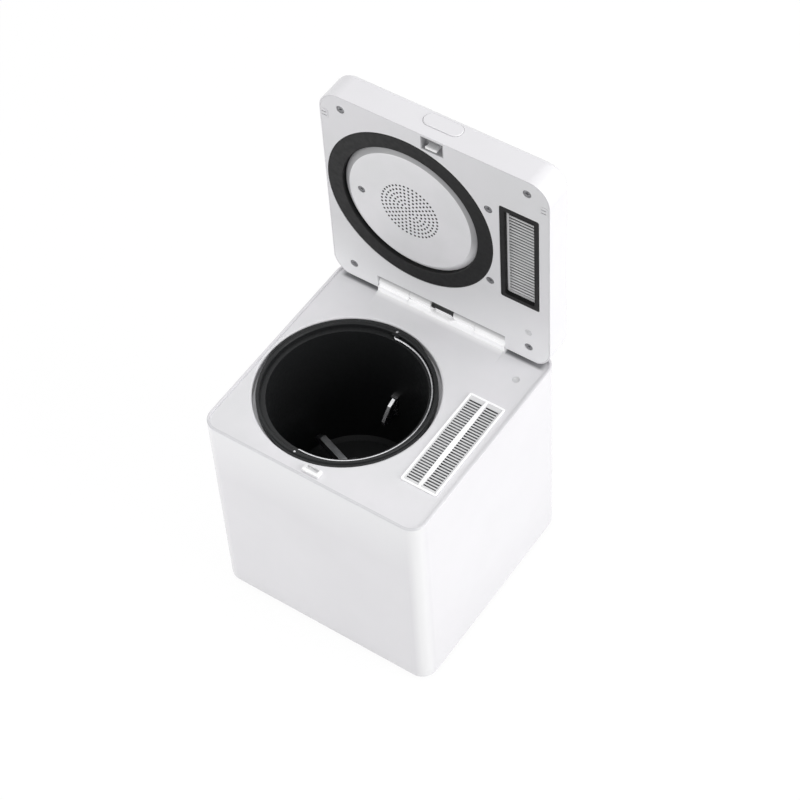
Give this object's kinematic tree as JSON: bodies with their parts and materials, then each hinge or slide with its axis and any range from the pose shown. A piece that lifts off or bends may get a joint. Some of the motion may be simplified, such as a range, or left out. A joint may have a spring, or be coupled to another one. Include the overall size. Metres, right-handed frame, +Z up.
{
  "type": "electric food waste composter",
  "caption": "Countertop electric food waste composter: square white casing, lift-out round bucket with a stirring arm, filter cartridge and a hinged lid standing open.",
  "frame": {"origin": "bottom centre of the whole open composter, on the surface it stands on", "axes": "+Z up, +Y from the front towards the hinge at the back, +X to the right of someone facing the front"},
  "size_m": [0.292, 0.3042, 0.59],
  "materials": {
    "aluminium": "satin",
    "black_rubber": "matte",
    "board": "satin",
    "brass": "satin",
    "bucket_coat": "satin",
    "carbon": "matte",
    "ceramic": "matte",
    "dark_plastic": "matte",
    "grey_plastic": "matte",
    "pale_grey": "satin",
    "steel": "brushed",
    "white_gloss": "gloss"
  },
  "bodies": {
    "base": {"body_shell": "white_gloss", "base_plate": "grey_plastic", "feet": "black_rubber", "base_screws": "steel", "deck_panel": "pale_grey", "latch_strike": "pale_grey", "lid_sensor": "pale_grey", "hinge_block": "white_gloss", "hinge_pins": "steel", "harness_tube": "dark_plastic", "heated_chamber": "aluminium", "heater_plate": "aluminium", "heating_element": "ceramic", "drive_frame": "steel", "gearbox_case": "grey_plastic", "gearbox_cover": "grey_plastic", "drive_bearings": "brass", "idler_pin": "steel", "drive_motor": "steel", "filter_well": "dark_plastic", "fan_housing": "dark_plastic", "exhaust_duct": "dark_plastic", "fan_motor": "steel", "control_board": "board", "power_inlet": "dark_plastic"},
    "lid": {"lid_cover": "white_gloss", "lid_knuckles": "white_gloss", "lid_inner_panel": "pale_grey", "lid_screws": "steel", "lid_gasket": "black_rubber", "vent_plate": "pale_grey", "vent_plate_screw": "steel", "port_gasket": "black_rubber", "filter_port": "pale_grey", "latch_housing": "pale_grey", "button_spring": "steel", "spring_seat": "dark_plastic", "lid_bumpers": "pale_grey", "sensor_magnet": "pale_grey", "air_channel": "dark_plastic", "touch_board": "board"},
    "latch": {"open_button": "white_gloss", "latch_catch": "pale_grey"},
    "bucket": {"bucket": "bucket_coat", "bucket_bush": "brass", "shaft_seal": "black_rubber", "handle_lugs": "steel", "lug_rivets": "steel", "fixed_cutters": "steel"},
    "handle": {"bucket_handle": "steel"},
    "agitator": {"agitator": "aluminium"},
    "drive": {"drive_gear": "steel", "drive_shaft": "steel"},
    "idler": {"idler_gear": "grey_plastic"},
    "rotor": {"motor_pinion": "steel", "motor_shaft": "steel"},
    "fan": {"fan_impeller": "dark_plastic"},
    "filter": {"filter_grille": "pale_grey", "filter_cartridge": "dark_plastic", "carbon_pack": "carbon"}
  },
  "joints": [
    {"name": "lid_hinge", "type": "hinge", "parent": "base", "child": "lid", "pos_m": [0, 0.1237, 0.3087], "axis": [1, 0, 0], "range_deg": [0, 90]},
    {"name": "latch_press", "type": "slide", "parent": "lid", "child": "latch", "axis": [0, 0, -1], "range_m": [0, 0.003], "stiffness_N_per_m": 400, "springref_m": -0.004, "deforming": ["button_spring"]},
    {"name": "bucket_lift", "type": "slide", "parent": "base", "child": "bucket", "axis": [0, 0, 1], "range_m": [0, 0.25]},
    {"name": "handle_swing", "type": "hinge", "parent": "bucket", "child": "handle", "pos_m": [-0.0332, -0.0272, 0.2906], "axis": [0, -1, 0], "range_deg": [0, 180]},
    {"name": "drive_spin", "type": "hinge", "parent": "base", "child": "drive", "pos_m": [-0.0332, -0.0272, 0.0745], "axis": [0, 0, 1], "continuous": true},
    {"name": "agitator_spin", "type": "hinge", "parent": "bucket", "child": "agitator", "pos_m": [-0.0332, -0.0272, 0.12], "axis": [0, 0, 1], "continuous": true},
    {"name": "idler_spin", "type": "hinge", "parent": "base", "child": "idler", "pos_m": [0.01613, -0.00924, 0.066], "axis": [0, 0, 1], "continuous": true},
    {"name": "rotor_spin", "type": "hinge", "parent": "base", "child": "rotor", "pos_m": [0.04024, -0.03797, 0.064], "axis": [0, 0, 1], "continuous": true},
    {"name": "fan_spin", "type": "hinge", "parent": "base", "child": "fan", "pos_m": [0.1074, -0.0278, 0.172], "axis": [0, 0, 1], "continuous": true},
    {"name": "filter_lift", "type": "slide", "parent": "base", "child": "filter", "axis": [0, 0, 1], "range_m": [0, 0.15]}
  ],
  "couplings": [
    {"joint": "agitator_spin", "follows": "drive_spin", "ratio": 1},
    {"joint": "idler_spin", "follows": "drive_spin", "ratio": -4},
    {"joint": "rotor_spin", "follows": "drive_spin", "ratio": 16}
  ]
}
